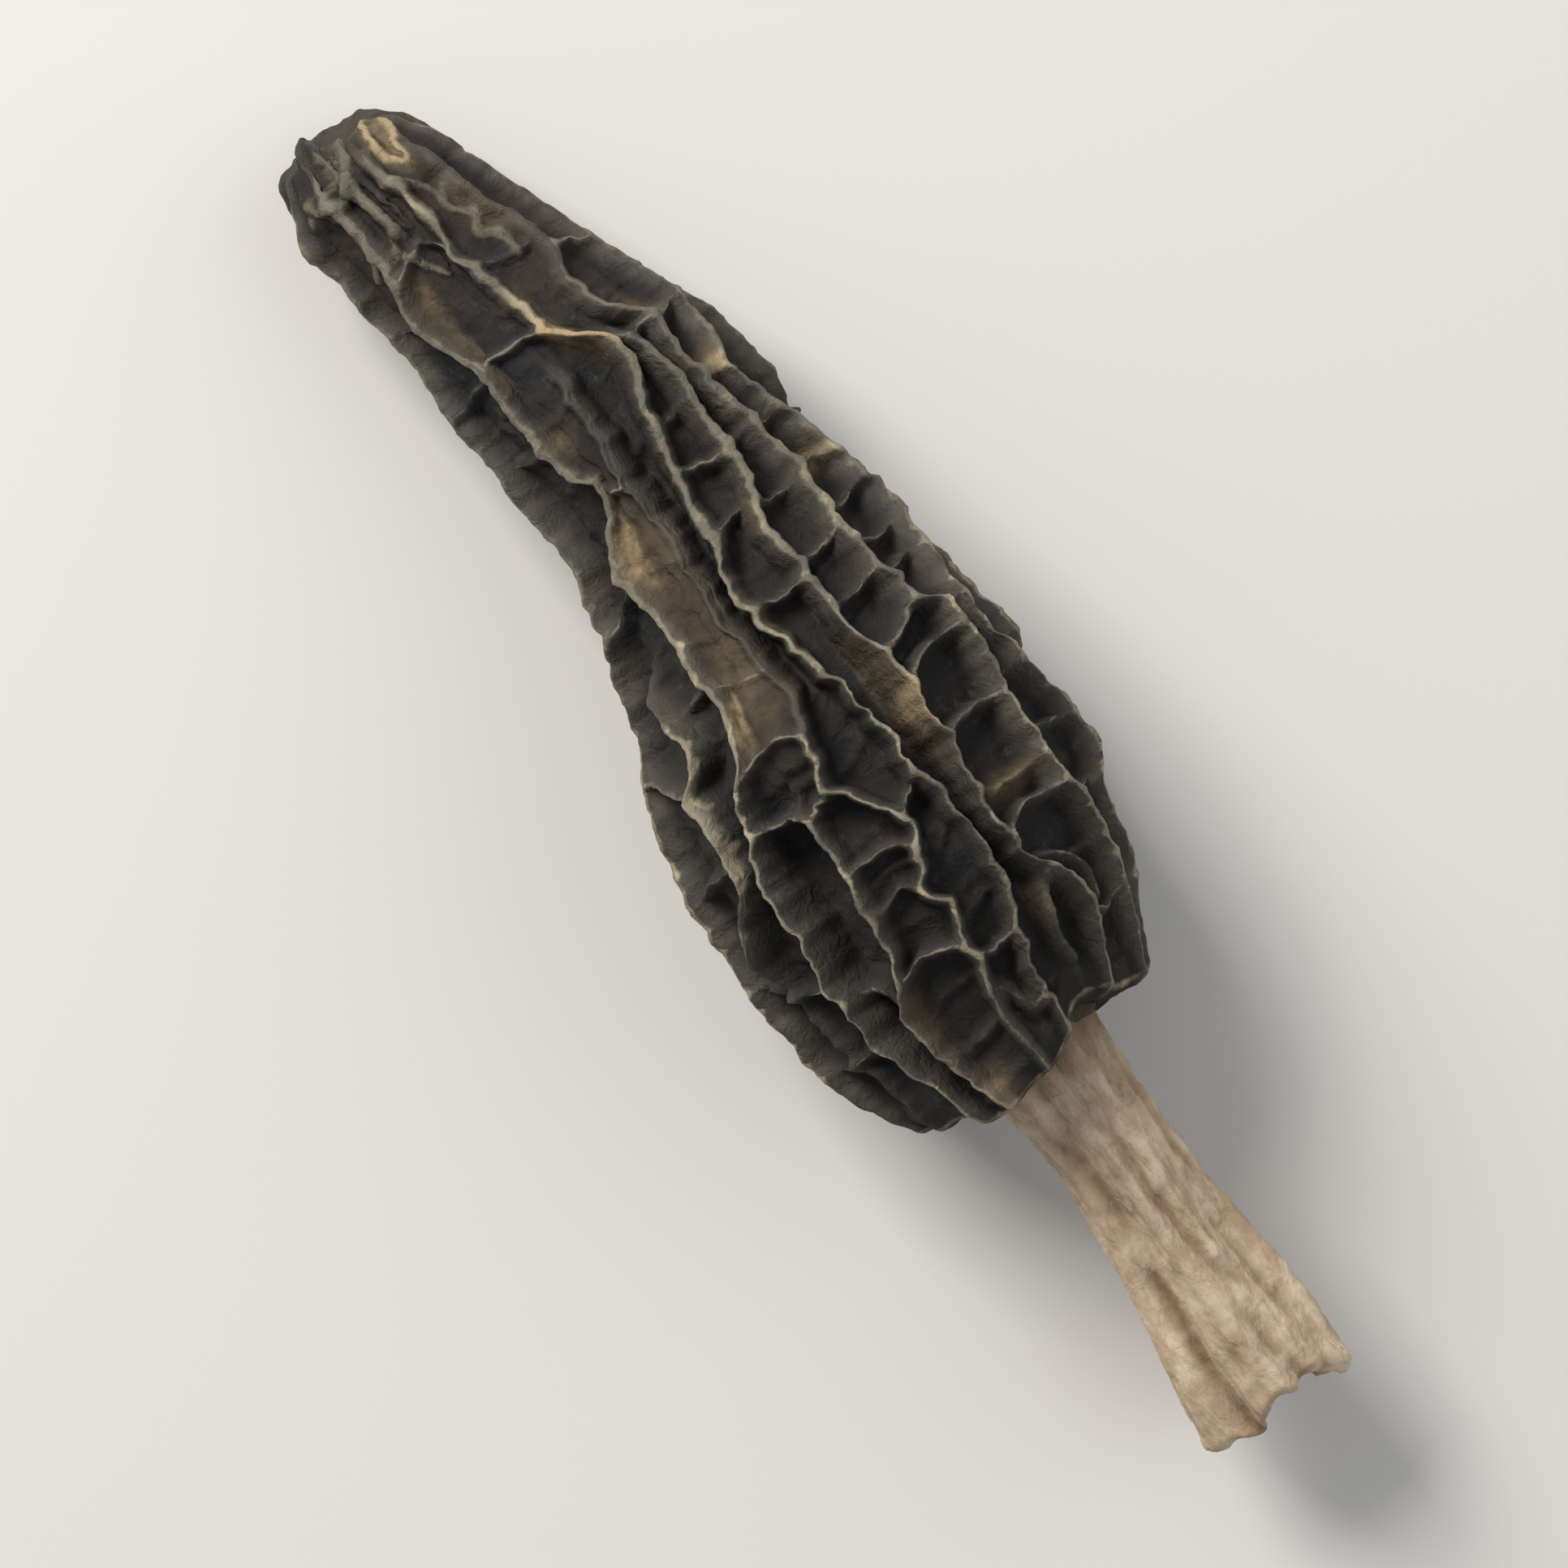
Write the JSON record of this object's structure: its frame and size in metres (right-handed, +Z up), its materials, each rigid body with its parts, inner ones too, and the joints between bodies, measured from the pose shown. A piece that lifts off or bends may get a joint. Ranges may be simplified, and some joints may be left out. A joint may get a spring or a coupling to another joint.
{
  "type": "dried morel mushroom",
  "caption": "Whole dried black morel lying on its side: a long cap with a net of ridges and pits, and a furrowed hollow stem.",
  "frame": {"origin": "centre of the bounding box's base, on the surface that the mushroom lies on", "axes": "+X from the cut end of the stem towards the tip of the cap, +Z up, +Y to the left of +X"},
  "size_m": [0.0975, 0.0262, 0.0253],
  "materials": {
    "morel_flesh": "dry, matt and wrinkled"
  },
  "bodies": {
    "root": {"dried_morel": "morel_flesh"}
  },
  "joints": []
}
